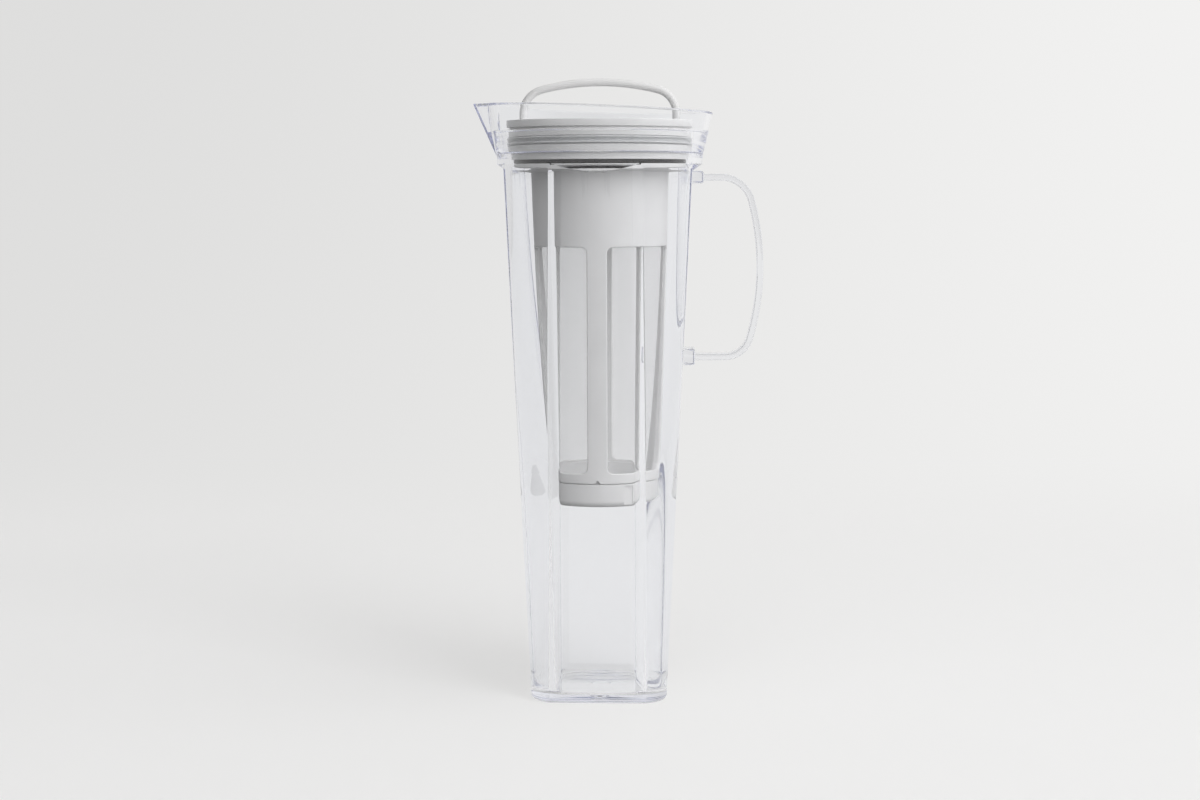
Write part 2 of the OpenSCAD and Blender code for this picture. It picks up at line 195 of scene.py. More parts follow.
WEAVE_ROUGHNESS = 0.5
WEAVE_COVER = (0.02, 0.2)
PAPER_SCALE = 900
PAPER_BUMP = (0.05, 0.0002)
PAPER_ROUGHNESS = 0.9
TINT_SPAN = (0.3, 0.7)

# Floor and backdrop, in millimetres
FLOOR_HALF = 14000
FLOOR_FRONT = -9000
SWEEP_START = 900
SWEEP_R = 1100
BACKDROP_H = 4000

# Light, in metres and plain levels. A span is where a value starts and ends its change
FLOOR_TONE = 0.93
# Tones of the floor for rays that light the object, along X and behind it along Y
BOUNCE_SPAN = (-0.2, 0.8)
BOUNCE_TONES = (0.12, 0.8)
BEHIND_SPAN = (0.5, 1.2)
BEHIND_TONE = 0.5
# Dome for rays that light the object, by the cosine from its brightest direction
KEY_FROM = (0.55, -0.60, 0.58)
KEY_SPAN = (0.25, 1.0)
KEY_LEVELS = (0.02, 1.86)
# Dome as it is seen, from left to right, and its dimmer front in glass
VIEW_SIDES = (0.72, 0.94)
FRONT_SPAN = (-0.85, 0.0)
FRONT_LEVELS = (0.08, 1.0)
DOME_TINT = (1.0, 0.995, 0.99, 1)
# Glow of the floor and backdrop as they are seen: far back, far away, near the object, and a painted pool of
# light under it
BACKDROP_TINT = (1.0, 0.997, 0.99, 1)
# The seen glow is darker to the left: painted shade of the light falling off away from the lamp
BACKDROP_SPAN = (-0.9, 0.9)
BACKDROP_PAINTED_FALLOFF = (0.735, 0.89)
BACKDROP_START = (0.15, 0.9)
AWAY_SPAN = (0.45, 1.2)
NEAR_GLOW = 0.3
# Painted pool of light on the floor under the jug's clear base, and the radii in metres over which it fades
# out
PAINTED_LIGHT_UNDER_JUG = 0.5
PAINTED_LIGHT_UNDER_SPAN = (0.026, 0.034)
LAMP_PLACE = (1.04, -1.2, 1.2)
LAMP_SIZE = (0.9, 0.2)
LAMP_POWER = 6.6
# Light runs a long way inside clear walls, so its paths are long
LIGHT_BOUNCES = 96

# Steps along each part of a jug section and of other curves, and shares where rings stand
ARCH_STEPS = 12
FLAT_STEPS = 14
FILLET_STEPS = 10
ARC_STEPS = 10
WALL_STEPS = 18
FUNNEL_STEPS = 14
SCALLOP_STEPS = 16
NECK_STEPS = 4
FLOOR_SHARES = (0.4, 0.8)
INNER_RIM_SHARE = 0.9
OUTER_RIM_SHARE = 0.92
SPOUT_TRIES = 40
RIM_TRIES = 6
ROUND_STEPS = 6
SOFT_STEPS = 4
LATHE_STEPS = 192
ROD_STEPS = 24
BEND_STEPS = 18
GRIP_STEPS = 24
# Along the bail's arch, corner and leg
BAIL_STEPS = (16, 18, 4)
# Across a window and up it
WINDOW_STEPS = (16, 14)
BAND_STEPS = 6
PANEL_SHARES = (0.02, 0.5, 0.9, 1.0)
SWEEP_STEPS = 24

# Limits: angles that stay sharp, how far a corner is cut back, and how near counts as the same
SHARP_ANGLE = math.radians(34)
JUG_SHARP_ANGLE = math.radians(20)
MERGE_DISTANCE = 1e-7
MOST_CUT = 0.45
LEAST_CUT = 1e-4
MOST_SPLIT = 0.97
SAME_ANGLE = 1e-6
NEAR = 0.1
CORNER_NEAR = 0.2


def mix(pair, share):
    """Value part of the way from the first of a pair to the second."""
    return pair[0] + (pair[1] - pair[0]) * share


def spread(start, end, steps):
    """Evenly spaced values from start to end, both included."""
    return [start + (end - start) * i / steps for i in range(steps + 1)]


def full_turn(steps):
    """Angles once round, without the last, which is the first again."""
    return spread(0, 2 * math.pi, steps)[:-1]


# Meshes


def add_mesh(name, points, faces, material, sharp=SHARP_ANGLE):
    """Object from points in millimetres, smooth except along sharp edges."""
    mesh = bpy.data.meshes.new(name)
    mesh.from_pydata([tuple(c * MM for c in p) for p in points], [], faces)
    work = bmesh.new()
    work.from_mesh(mesh)
    bmesh.ops.remove_doubles(work, verts=work.verts, dist=MERGE_DISTANCE)
    bmesh.ops.recalc_face_normals(work, faces=work.faces)
    for face in work.faces:
        face.smooth = True
    work.to_mesh(mesh)
    work.free()
    mesh.set_sharp_from_angle(angle=sharp)
    mesh.materials.append(material)
    piece = bpy.data.objects.new(name, mesh)
    bpy.context.scene.collection.objects.link(piece)
    return piece


def loft(rings, closed=False):
    """Skin over rings with equally many points, as points and faces. A ring of one point closes an end."""
    points = [p for ring in rings for p in ring]
    starts = [sum(len(r) for r in rings[:i]) for i in range(len(rings))]
    faces = []
    pairs = list(zip(range(len(rings) - 1), range(1, len(rings))))
    if closed:
        pairs.append((len(rings) - 1, 0))
    for a, b in pairs:
        count = max(len(rings[a]), len(rings[b]))
        for i in range(count):
            j = (i + 1) % count
            low, low_next = starts[a] + i % len(rings[a]), starts[a] + j % len(rings[a])
            high, high_next = starts[b] + i % len(rings[b]), starts[b] + j % len(rings[b])
            corners = [low, low_next, high_next, high]
            faces.append([c for k, c in enumerate(corners) if c not in corners[:k]])
    return points, faces


def soften(profile, radius, closed=True):
    """Profile with each corner rounded by an arc of about the given radius."""
    count = len(profile)
    out = []
    for i, corner in enumerate(profile):
        if not closed and i in (0, count - 1):
            out.append(corner)
            continue
        here = Vector(corner)
        before, after = Vector(profile[i - 1]) - here, Vector(profile[(i + 1) % count]) - here
        turn = before.angle(after)
        cut = min(radius / math.tan(turn / 2), MOST_CUT * before.length, MOST_CUT * after.length)
        if corner[0] == 0 or cut < LEAST_CUT:
            out.append(corner)
            continue
        start, end = here + before.normalized() * cut, here + after.normalized() * cut
        for share in spread(0, 1, SOFT_STEPS):
            rounded = start.lerp(here, share).lerp(here.lerp(end, share), share)
            out.append(tuple(rounded))
    return out


def lathe(profile, closed=True, turns=None, radius_at=None):
    """Skin of a profile of (radius, height) turned about the axis."""
    turns = turns or full_turn(LATHE_STEPS)
    rings = []
    for r, z in profile:
        if r == 0:
            rings.append([(0, 0, z)])
            continue
        ring = []
        for turn in turns:
            use = radius_at(r, z, turn) if radius_at else r
            ring.append((use * math.cos(turn), use * math.sin(turn), z))
        rings.append(ring)
    return loft(rings, closed)


def join_skins(skins):
    """Several skins as one list of points and faces."""
    points, faces = [], []
    for more_points, more_faces in skins:
        base = len(points)
        points += more_points
        faces += [[base + i for i in face] for face in more_faces]
    return points, faces


# Jug


def corner_at(z):
    return mix(CORNER_R, z / BODY_H)


def flat_at(z):
    return mix(FLAT_D, z / BODY_H)


FLARE_Z = BODY_H - FLAT_DROP
NECK_Z = FLARE_Z + FLAT_RUNOUT
FLARE_SLOPE = (corner_at(NECK_Z) - flat_at(FLARE_Z)) / FLAT_RUNOUT
TIP_Z = RIM_Z + RIM_SLOPE * SPOUT_REACH
FUNNEL_SLOPE = (RIM_R - CORNER_R[1]) / (RIM_Z - BODY_H)
SPOUT_SLOPE = (SPOUT_REACH - CORNER_R[1]) / (TIP_Z - BODY_H)
SPOUT_LEAN = math.atan(SPOUT_SLOPE)
HALF_STEPS = ARCH_STEPS + FLAT_STEPS + FILLET_STEPS + ARC_STEPS
LEAST_SPLIT = math.radians(0.3)
REST_SPLIT = 0.4
LEAST_FILLET = 0.2


def funnel_r(z):
    return CORNER_R[1] + FUNNEL_SLOPE * (z - BODY_H)


def spout_spread():
    """Half width of the spout per unit of depth behind its ridge, in a level section."""
    tip_r = funnel_r(TIP_Z)
    root_x = math.sqrt(tip_r ** 2 - SPOUT_W ** 2 / 4)
    return SPOUT_W / 2 / (SPOUT_REACH - root_x)


SPOUT_SPREAD = spout_spread()
SPOUT_SINE = math.sin(math.atan(SPOUT_SPREAD / math.cos(SPOUT_LEAN)))
SPOUT_INSET = FUNNEL_WALL / SPOUT_SINE / math.cos(SPOUT_LEAN)


def corner_mid(z):
    """Distance from the axis, along each side, to the middle of the corner's curve at height z."""
    return CORNER_MID * max(0.0, 1 - (z / NECK_Z) ** 2)


def corner_curve(z):
    """Radius of the corner's curve at height z, set by where it leaves the flats."""
    mid = corner_mid(z)
    curve = math.hypot(mix(EDGE_HALF, z / NECK_Z) - mid, flat_at(z) - mid)
    run_out = max(0.0, z - FLARE_Z) / FLAT_RUNOUT
    return mix((curve, corner_at(NECK_Z)), run_out)


def half_section(flat, mid, curve, fillet, flare=0.0, flare_limit=0.0):
    """Eighth of a square section with round corners, from a flat's middle to a corner, as (angle, radius)."""
    mid_x = flat - fillet
    mid_y = mid + math.sqrt((curve - fillet) ** 2 - (mid_x - mid) ** 2)
    turn = math.atan2(mid_y - mid, mid_x - mid)
    end = math.atan2(mid_y, flat)
    split = REST_SPLIT * end
    if flare > flat:
        split = min(max(math.acos(flat / flare), LEAST_SPLIT), MOST_SPLIT * end)
    out = []
    for angle in spread(0, split, ARCH_STEPS)[:-1] + spread(split, end, FLAT_STEPS)[:-1]:
        out.append((angle, flat / math.cos(angle)))
    for angle in spread(0, turn, FILLET_STEPS)[:-1]:
        x, y = mid_x + fillet * math.cos(angle), mid_y + fillet * math.sin(angle)
        out.append((math.atan2(y, x), math.hypot(x, y)))
    for angle in spread(turn, math.pi / 4, ARC_STEPS):
        x, y = mid + curve * math.cos(angle), mid + curve * math.sin(angle)
        out.append((math.atan2(y, x), math.hypot(x, y)))
    return [(angle, max(r, min(flare, flare_limit))) for angle, r in out]


def whole_ring(half, z):
    """Ring at height z from an eighth of its section."""
    ring = []
    for quarter in range(4):
        for step in range(-HALF_STEPS, HALF_STEPS):
            angle, r = half[abs(step)]
            turn = quarter * math.pi / 2 + math.copysign(angle, step)
            ring.append((r * math.cos(turn), r * math.sin(turn), z))
    return ring


def neck_angles():
    """Angles of the ring where the flats have run out into the round neck."""
    r = corner_at(NECK_Z)
    return [angle for angle, _ in half_section(flat_at(NECK_Z), 0.0, r, EDGE_FILLET, r, r)]


NECK_ANGLES = neck_angles()


def circle_ring(r, z):
    return whole_ring([(angle, r) for angle in NECK_ANGLES], z)


def spout_edge(ridge, r):
    """Angle from the spout's ridge to its root on a circle of radius r."""
    low, high = 0.0, math.atan(1 / SPOUT_SPREAD)
    for _ in range(SPOUT_TRIES):
        mid = (low + high) / 2
        if SPOUT_SPREAD * ridge / (math.sin(mid) + SPOUT_SPREAD * math.cos(mid)) > r:
            low = mid
        else:
            high = mid
    return max(low, LEAST_SPLIT)


def funnel_point(quarter, step, share, foot_z, inset, drop, pull):
    """Point of the funnel wall, share of the way from foot_z up to the rim."""
    index = abs(step)
    z = foot_z + share * (RIM_Z - foot_z)
    for _ in range(RIM_TRIES):
        r = funnel_r(z) - (FUNNEL_WALL if inset else 0)
        angle = NECK_ANGLES[index]
        if quarter == SPOUT_QUARTER:
            ridge = CORNER_R[1] + SPOUT_SLOPE * (z - BODY_H) - (SPOUT_INSET if inset else 0)
            split = spout_edge(ridge, r)
            end = NECK_ANGLES[ARCH_STEPS + FLAT_STEPS]
            if index <= ARCH_STEPS:
                angle = split * index / ARCH_STEPS
            elif index < ARCH_STEPS + FLAT_STEPS:
                angle = split + (end - split) * (index - ARCH_STEPS) / FLAT_STEPS
            wedge = SPOUT_SPREAD * ridge / (math.sin(angle) + SPOUT_SPREAD * math.cos(angle))
            r = max(r, wedge) if index <= ARCH_STEPS else r
        turn = quarter * math.pi / 2 + math.copysign(angle, step)
        rim_z = RIM_Z - RIM_SLOPE * r * math.cos(turn)
        z = foot_z + share * (rim_z - foot_z) - drop
    return ((r + pull) * math.cos(turn), (r + pull) * math.sin(turn), z)


def funnel_ring(share, foot_z, inset=False, drop=0.0, pull=0.0):
    """Ring of the funnel wall, lowered by drop and moved out by pull."""
    return [
        funnel_point(quarter, step, share, foot_z, inset, drop, pull)
        for quarter in range(4)
        for step in range(-HALF_STEPS, HALF_STEPS)
    ]


def inner_half(z, pull):
    """Eighth of the cavity's section at height z, drawn in by pull."""
    share = (z - FLOOR_T) / (SEAT_Z - FLOOR_T)
    flat = mix((FLAT_D[0] - WALL[0], flat_at(SEAT_Z) - WALL[1]), share) - pull
    corner = mix((CORNER_R[0] - CORNER_WALL, NECK_R - SEAT_EDGE), share) - pull
    return half_section(flat, 0.0, corner, INNER_FILLET - pull)


def outer_half(z, pull=0.0):
    """Eighth of the body's outer section at height z, drawn in by pull."""
    flare = flat_at(FLARE_Z) + FLARE_SLOPE * (z - FLARE_Z) if z > FLARE_Z else 0.0
    fillet = max(EDGE_FILLET - pull, LEAST_FILLET)
    curve = corner_curve(z) - pull
    return half_section(flat_at(z) - pull, corner_mid(z), curve, fillet, flare, corner_at(z))


def jug_inside():
    """Rings from the middle of the floor up to the rim."""
    rings = [[(0, 0, FLOOR_T)]]
    floor_edge = whole_ring(inner_half(FLOOR_T, FLOOR_ROUND), FLOOR_T)
    for share in FLOOR_SHARES:
        rings.append([(x * share, y * share, z) for x, y, z in floor_edge])
    for angle in spread(0, math.pi / 2, ROUND_STEPS):
        z = FLOOR_T + FLOOR_ROUND * (1 - math.cos(angle))
        rings.append(whole_ring(inner_half(z, FLOOR_ROUND * (1 - math.sin(angle))), z))
    for z in spread(FLOOR_T + FLOOR_ROUND, SEAT_Z, WALL_STEPS)[1:]:
        rings.append(whole_ring(inner_half(z, 0.0), z))
    steps = [
        (NECK_R, SEAT_Z), (NECK_R, LID_SEAT_Z), (LID_BORE_R, LID_SEAT_Z), (LID_BORE_R, STEP_Z),
        (funnel_r(STEP_Z) - FUNNEL_WALL - STEP_LEDGE, STEP_Z),
    ]
    rings += [circle_ring(r, z) for r, z in soften(steps, NECK_ROUND, closed=False)]
    rings += [funnel_ring(share, STEP_Z, inset=True) for share in spread(0, INNER_RIM_SHARE, FUNNEL_STEPS)]
    for angle in spread(0, math.pi / 2, ROUND_STEPS):
        drop, pull = RIM_ROUND * (1 - math.sin(angle)), RIM_ROUND * (1 - math.cos(angle))
        rings.append(funnel_ring(1, STEP_Z, inset=True, drop=drop, pull=pull))
    return rings


def jug_outside():
    """Rings from the rim down to the middle of the underside."""
    rings = []
    for angle in spread(math.pi / 2, 0, ROUND_STEPS):
        drop, pull = RIM_ROUND * (1 - math.sin(angle)), RIM_ROUND * (math.cos(angle) - 1)
        rings.append(funnel_ring(1, BODY_H, drop=drop, pull=pull))
    rings += [funnel_ring(share, BODY_H) for share in spread(OUTER_RIM_SHARE, 0, FUNNEL_STEPS)]
    rings += [circle_ring(corner_at(z), z) for z in spread(BODY_H, NECK_Z, NECK_STEPS)[1:-1]]
    for share in spread(1, 0, SCALLOP_STEPS):
        z = FLARE_Z + FLAT_RUNOUT * share ** 2
        rings.append(whole_ring(outer_half(z), z))
    for z in spread(FLARE_Z, FOOT_ROUND, WALL_STEPS)[1:]:
        rings.append(whole_ring(outer_half(z), z))
    for angle in spread(0, math.pi / 2, ROUND_STEPS)[1:]:
        z = FOOT_ROUND * (1 - math.sin(angle))
        rings.append(whole_ring(outer_half(z, FOOT_ROUND * (1 - math.cos(angle))), z))
    gate_z = FOOT_RECESS + GATE_DEPTH
    underside = [
        (RECESS_R + RECESS_LAND, 0), (RECESS_R, 0), (RECESS_R - RECESS_SLANT, FOOT_RECESS),
        (GATE_R + GATE_SLANT, FOOT_RECESS), (GATE_R, gate_z), (GATE_R / 2, gate_z),
    ]
    rings += [circle_ring(r, z) for r, z in soften(underside, UNDERSIDE_ROUND, closed=False)]
    rings.append([(0, 0, gate_z)])
    return rings


def make_jug(material):
    points, faces = loft(jug_inside() + jug_outside())
    return add_mesh("jug_clear_body", points, faces, material, JUG_SHARP_ANGLE)


# Handle


def rounded_section(w, h, r):
    """Rectangle with round corners as (across, up), anticlockwise."""
    out = []
    y, z = w / 2 - r, h / 2 - r
    for mid_y, mid_z, start in ((y, z, 0), (-y, z, 90), (-y, -z, 180), (y, -z, 270)):
        for angle in spread(math.radians(start), math.radians(start + 90), ROUND_STEPS):
            out.append((mid_y + r * math.cos(angle), mid_z + r * math.sin(angle)))
    return out


def strap_path():
    """Middle line of the strap as (x, z, direction of its outer side) from the upper block to the lower."""
    half = STRAP_T / 2
    top, bottom = UPPER_RUN_Z + half, LOWER_RUN_Z - half
    grip_x, grip_z = HANDLE_REACH - GRIP_R, (top + bottom) / 2
    upper_z, lower_z = top - UPPER_BEND_R, bottom + LOWER_BEND_R
    upper_turn = math.asin((upper_z - grip_z) / (GRIP_R - UPPER_BEND_R))
    lower_turn = math.asin((grip_z - lower_z) / (GRIP_R - LOWER_BEND_R))
    upper_x = grip_x + (GRIP_R - UPPER_BEND_R) * math.cos(upper_turn)
    lower_x = grip_x + (GRIP_R - LOWER_BEND_R) * math.cos(lower_turn)
    bends = (
        (upper_x, upper_z, UPPER_BEND_R, math.pi / 2, upper_turn, BEND_STEPS),
        (grip_x, grip_z, GRIP_R, upper_turn, -lower_turn, GRIP_STEPS),
        (lower_x, lower_z, LOWER_BEND_R, -lower_turn, -math.pi / 2, BEND_STEPS),
    )
    path = []
    for x, z, r, start, end, steps in bends:
        for turn in spread(start, end, steps)[1 if path else 0:]:
            path.append((x + (r - half) * math.cos(turn), z + (r - half) * math.sin(turn), turn))
    return path


def strap_ring(x, z, turn, w, h, r):
    """Ring of a rounded section whose upper side faces along turn."""
    section = rounded_section(w, h, r)
    return [(x + up * math.cos(turn), across, z + up * math.sin(turn)) for across, up in section]


def block_rings(run_z, block_h, turn):
    """Rings of an end block, from the jug's wall out to the strap."""
    end_x = flat_at(run_z) + BLOCK_LEN
    foot = strap_ring(end_x, run_z, turn, BLOCK_W, block_h, BLOCK_ROUND)
    rings = [[(flat_at(z) + BOND_GAP, y, z) for _, y, z in foot]]
    for back, off_w, off_h in BLOCK_BEVEL:
        w, h = BLOCK_W - off_w, block_h - off_h
        rings.append(strap_ring(end_x - back, run_z, turn, w, h, BLOCK_ROUND))
    rings.append(strap_ring(end_x + STRAP_LEAD, run_z, turn, STRAP_W, STRAP_T, STRAP_ROUND))
    return rings


def make_handle(material):
    """Strap with a block at each end, closed at both ends by a middle point."""
    up, down = math.pi / 2, -math.pi / 2
    rings = block_rings(UPPER_RUN_Z, BLOCK_H[0], up)
    rings += [strap_ring(x, z, turn, STRAP_W, STRAP_T, STRAP_ROUND) for x, z, turn in strap_path()]
    rings += block_rings(LOWER_RUN_Z, BLOCK_H[1], down)[::-1]
    ends = [[tuple(sum(c) / len(ring) for c in zip(*ring))] for ring in (rings[0], rings[-1])]
    points, faces = loft([ends[0]] + rings + [ends[1]])
    return add_mesh("jug_clear_handle", points, faces, material)


# Lid


def make_lid(material):
    """Plug with a groove for the gasket, a thin gap under its flange and a dished top."""
    gap_z, gap_r = LID_FLANGE_Z - SHADOW_GAP[0], LID_R - SHADOW_GAP[1]
    groove_top = GASKET_Z + GASKET_H
    ceiling = DISH_Z - LID_FLOOR_T
    profile = [
        (NOSE_IN_R, NOSE_Z), (NOSE_R, NOSE_Z), (NOSE_R, LID_SEAT_Z), (LID_R, LID_SEAT_Z), (LID_R, GASKET_Z),
        (GROOVE_R, GASKET_Z), (GROOVE_R, groove_top), (LID_R, groove_top), (LID_R, gap_z), (gap_r, gap_z),
        (gap_r, LID_FLANGE_Z), (LID_FLANGE_R, LID_FLANGE_Z), (LID_FLANGE_R, LID_TOP_Z), (DISH_R, LID_TOP_Z),
        (DISH_R, DISH_Z), (0, DISH_Z), (0, ceiling), (SKIRT_R, ceiling), (SKIRT_R, LID_SEAT_Z),
        (NOSE_IN_R, LID_SEAT_Z),
    ]
    points, faces = lathe(soften(profile, LID_ROUND))
    return add_mesh("lid_plug", points, faces, material)


def make_gasket(material):
    """Ring with two lips, alike above and below its middle. A lip slants out, stands and slants in."""
    body_r = LID_R - GASKET_NECK
    lower = [(GROOVE_R, 0), (body_r, 0), (LIP_R, LIP_H), (LIP_R, 2 * LIP_H), (body_r, 3 * LIP_H)]
    upper = [(r, GASKET_H - up) for r, up in reversed(lower)]
    profile = [(r, GASKET_Z + up) for r, up in lower + upper]
    points, faces = lathe(soften(profile, GASKET_ROUND))
    return add_mesh("lid_gasket_ring", points, faces, material)


def make_seal(material):
    """Soft ring between the strainer's flange and the lid's nose, with its lower edge cut off."""
    low, high = SEAT_Z + FLANGE_T, NOSE_Z
    cut = (high - low) / 2
    profile = [(NOSE_IN_R, low), (SEAL_R - cut, low), (SEAL_R, low + cut), (SEAL_R, high), (NOSE_IN_R, high)]
    points, faces = lathe(soften(profile, SEAL_ROUND))
    return add_mesh("lid_lower_seal", points, faces, material)


def bail_path():
    """Middle line of the bail's +X half as (x, z), from the top down to the pivot."""
    mid_z = BAIL_TOP_Z - BAIL_R
    corner_x = BAIL_LEG_X - BAIL_CORNER_R
    arch = math.asin(corner_x / (BAIL_TOP_R - BAIL_CORNER_R))
    arch_z = mid_z - BAIL_TOP_R
    corner_z = arch_z + (BAIL_TOP_R - BAIL_CORNER_R) * math.cos(arch)
    arch_steps, corner_steps, leg_steps = BAIL_STEPS
    path = []
    for turn in spread(0, arch, arch_steps):
        path.append((BAIL_TOP_R * math.sin(turn), arch_z + BAIL_TOP_R * math.cos(turn)))
    for turn in spread(arch, math.pi / 2, corner_steps)[1:]:
        path.append((corner_x + BAIL_CORNER_R * math.sin(turn), corner_z + BAIL_CORNER_R * math.cos(turn)))
    path += [(BAIL_LEG_X, z) for z in spread(corner_z, PIVOT_Z, leg_steps)[1:]]
    return path


def rod(path, r):
    """Skin of a round rod along a path of (x, z) in the plane of the bail."""
    rings = []
    for i, (x, z) in enumerate(path):
        before, after = path[max(i - 1, 0)], path[min(i + 1, len(path) - 1)]
        along = Vector((after[0] - before[0], after[1] - before[1])).normalized()
        side = Vector((-along.y, along.x))
        ring = []
        for turn in full_turn(ROD_STEPS):
            out = r * math.cos(turn)
            ring.append((x + side.x * out, r * math.sin(turn), z + side.y * out))
        rings.append(ring)
    ends = [[(x, 0, z)] for x, z in (path[0], path[-1])]
    return loft([ends[0]] + rings + [ends[1]])


def pivot(side):
    """Skin of the hub and pin at one foot of the bail."""
    start = BAIL_LEG_X - BAIL_R
    profile = [(0, start), (HUB_R, start), (HUB_R, HUB_END), (PIN_R, HUB_END), (PIN_R, PIN_END), (0, PIN_END)]
    turns = full_turn(2 * ROD_STEPS)
    points, faces = lathe(soften(profile, PIN_ROUND, closed=False), closed=False, turns=turns)
    return [(side * z, x, PIVOT_Z + y) for x, y, z in points], faces


def make_bail(material):
    half = bail_path()
    path = [(-x, z) for x, z in half[:0:-1]] + half
    points, faces = join_skins([rod(path, BAIL_R), pivot(1), pivot(-1)])
    return add_mesh("lid_bail_rod", points, faces, material)


# Strainer


FRAME_TOP_Z = WINDOW_Z[1] + WINDOW_HEAD


def tube_at(z):
    return mix(TUBE_R, (z - TUBE_Z) / (SEAT_Z - TUBE_Z))


def window_loop(inset):
    """Edge of a window as (angle from its middle, height), anticlockwise from its lower right."""
    low, high = WINDOW_Z[0] + inset, WINDOW_Z[1] - inset
    r = WINDOW_ROUND - inset
    across_steps, up_steps = WINDOW_STEPS
    out = []

    def edge(z):
        return math.pi / 4 - math.asin((RIB_W / 2 + inset) / tube_at(z))

    def corner(side, mid_z, start):
        for turn in spread(math.radians(start), math.radians(start + 90), ROUND_STEPS):
            z = mid_z + r * math.sin(turn)
            out.append((side * (edge(z) - r / tube_at(z)) + r * math.cos(turn) / tube_at(z), z))

    corner(1, low + r, 270)
    out.extend((edge(z), z) for z in spread(low + r, high - r, up_steps)[1:-1])
    corner(1, high - r, 0)
    across = edge(high) - r / tube_at(high)
    out.extend((a, high) for a in spread(across, -across, across_steps)[1:-1])
    corner(-1, high - r, 90)
    out.extend((-edge(z), z) for z in spread(high - r, low + r, up_steps)[1:-1])
    corner(-1, low + r, 180)
    across = edge(low) - r / tube_at(low)
    out.extend((a, low) for a in spread(-across, across, across_steps)[1:-1])
    return out


def cell_loop(loop, low, high):
    """Edge of the quarter of the tube round a window, point for point with the window's loop."""
    wide = max(a for a, z in loop)
    out = []
    for a, z in loop:
        up = (z - WINDOW_Z[0]) / (WINDOW_Z[1] - WINDOW_Z[0])
        side, end = math.copysign(math.pi / 4, a), low if up < 0.5 else high
        to_side = (wide - abs(a)) * TUBE_R[0]
        to_end = min(z - WINDOW_Z[0], WINDOW_Z[1] - z)
        if abs(to_side - to_end) < CORNER_NEAR and to_side < WINDOW_ROUND:
            out.append((side, end))
        elif to_side < to_end or to_side <= WINDOW_ROUND <= to_end:
            out.append((side, low + (high - low) * up))
        else:
            out.append((a / wide * math.pi / 4, end))
    return out


def tube_point(a, z, depth, turn):
    """Point at a depth in the tube's wall. Each rib has a faint ridge down its middle."""
    ridge = RIB_RIDGE if abs(abs(a) - math.pi / 4) < SAME_ANGLE and depth == 0 else 0.0
    r = tube_at(z) - depth + ridge
    return (r * math.cos(a + turn), r * math.sin(a + turn), z)


def quarter_turn(quarter):
    """Angle of the middle of a window."""
    return math.pi / 4 + quarter * math.pi / 2


def window_quarters():
    """Skins of the four quarters of the tube round the windows."""
    loop = window_loop(0.0)
    round_loop = window_loop(-WINDOW_BREAK)
    frame_loop = cell_loop(loop, TUBE_Z, FRAME_TOP_Z)
    edges = (
        (frame_loop, 0.0), (round_loop, 0.0), (loop, WINDOW_BREAK), (loop, TUBE_WALL - WINDOW_BREAK),
        (round_loop, TUBE_WALL), (frame_loop, TUBE_WALL),
    )
    skins = []
    for quarter in range(4):
        turn = quarter_turn(quarter)
        skins.append(loft([[tube_point(a, z, depth, turn) for a, z in edge] for edge, depth in edges]))
    return skins, frame_loop


def round_turns(angles):
    """Angles once round the tube that repeat those of one quarter."""
    once = sorted({round(a, 9) for a in angles})
    return [a + quarter_turn(quarter) for quarter in range(4) for a in once[:-1]]


def tube_ring(z, depth, turns):
    r = tube_at(z) - depth
    return [(r * math.cos(turn), r * math.sin(turn), z) for turn in turns]


def make_strainer(material):
    """Tube of four window quarters, a band above them, a foot edge below and a flange at the top."""
    skins, frame_loop = window_quarters()
    tops = round_turns(a for a, z in frame_loop if z > FRAME_TOP_Z - NEAR)
    feet = round_turns(a for a, z in frame_loop if z < TUBE_Z + NEAR)
    for depth in (0.0, TUBE_WALL):
        skins.append(loft([tube_ring(z, depth, tops) for z in spread(FRAME_TOP_Z, SEAT_Z, BAND_STEPS)]))
    skins.append(loft([tube_ring(TUBE_Z, depth, feet) for depth in (0.0, TUBE_WALL)]))
    inner_r, outer_r = TUBE_R[1] - TUBE_WALL, TUBE_R[1]
    flange = [
        (inner_r, SEAT_Z - FLANGE_LAP), (outer_r + FLANGE_FILLET, SEAT_Z - FLANGE_FILLET),
        (outer_r + 2 * FLANGE_FILLET, SEAT_Z), (FLANGE_R, SEAT_Z), (FLANGE_R, SEAT_Z + FLANGE_T),
        (inner_r, SEAT_Z + FLANGE_T),
    ]
    skins.append(lathe(soften(flange, FLANGE_ROUND)))
    points, faces = join_skins(skins)
    return add_mesh("strainer_tube", points, faces, material)


def make_mesh_panel(name, quarter, material):
    """Fine mesh of one window, a thin curved sheet with its own measured UV map."""
    loop = window_loop(MESH_GAP)
    turn = quarter_turn(quarter)
    mid = sum(WINDOW_Z) / 2
    sides = []
    for depth in MESH_DEPTH:
        rings = [[(0, mid, depth)]]
        for share in PANEL_SHARES:
            rings.append([(a * share, mid + (z - mid) * share, depth) for a, z in loop])
        sides.append(rings)
    outer, inner = sides
    flat_points, faces = loft(outer + inner[::-1])
    points = [tube_point(a, z, depth, turn) for a, z, depth in flat_points]
    piece = add_mesh(name, points, faces, material)
    layer = piece.data.uv_layers.new(name="cloth")
    for corner in piece.data.loops:
        x, y, z = piece.data.vertices[corner.vertex_index].co
        angle = (math.atan2(y, x) - turn + math.pi) % (2 * math.pi) - math.pi
        layer.data[corner.index].uv = (angle * TUBE_R[1] * MM, z)
    return piece


THUMB_ANGLE = math.radians(THUMB_TURN - 90)


def thumb_radius(r, z, turn):
    """Radius of the base cap, less where the thumb recess is."""
    off = abs((turn - THUMB_ANGLE + math.pi) % (2 * math.pi) - math.pi)
    inside = off < math.radians(THUMB_HALF) and z < THUMB_TOP and r > CAP_R - CAP_ROUND
    return min(r, CAP_R - THUMB_DEPTH) if inside else r


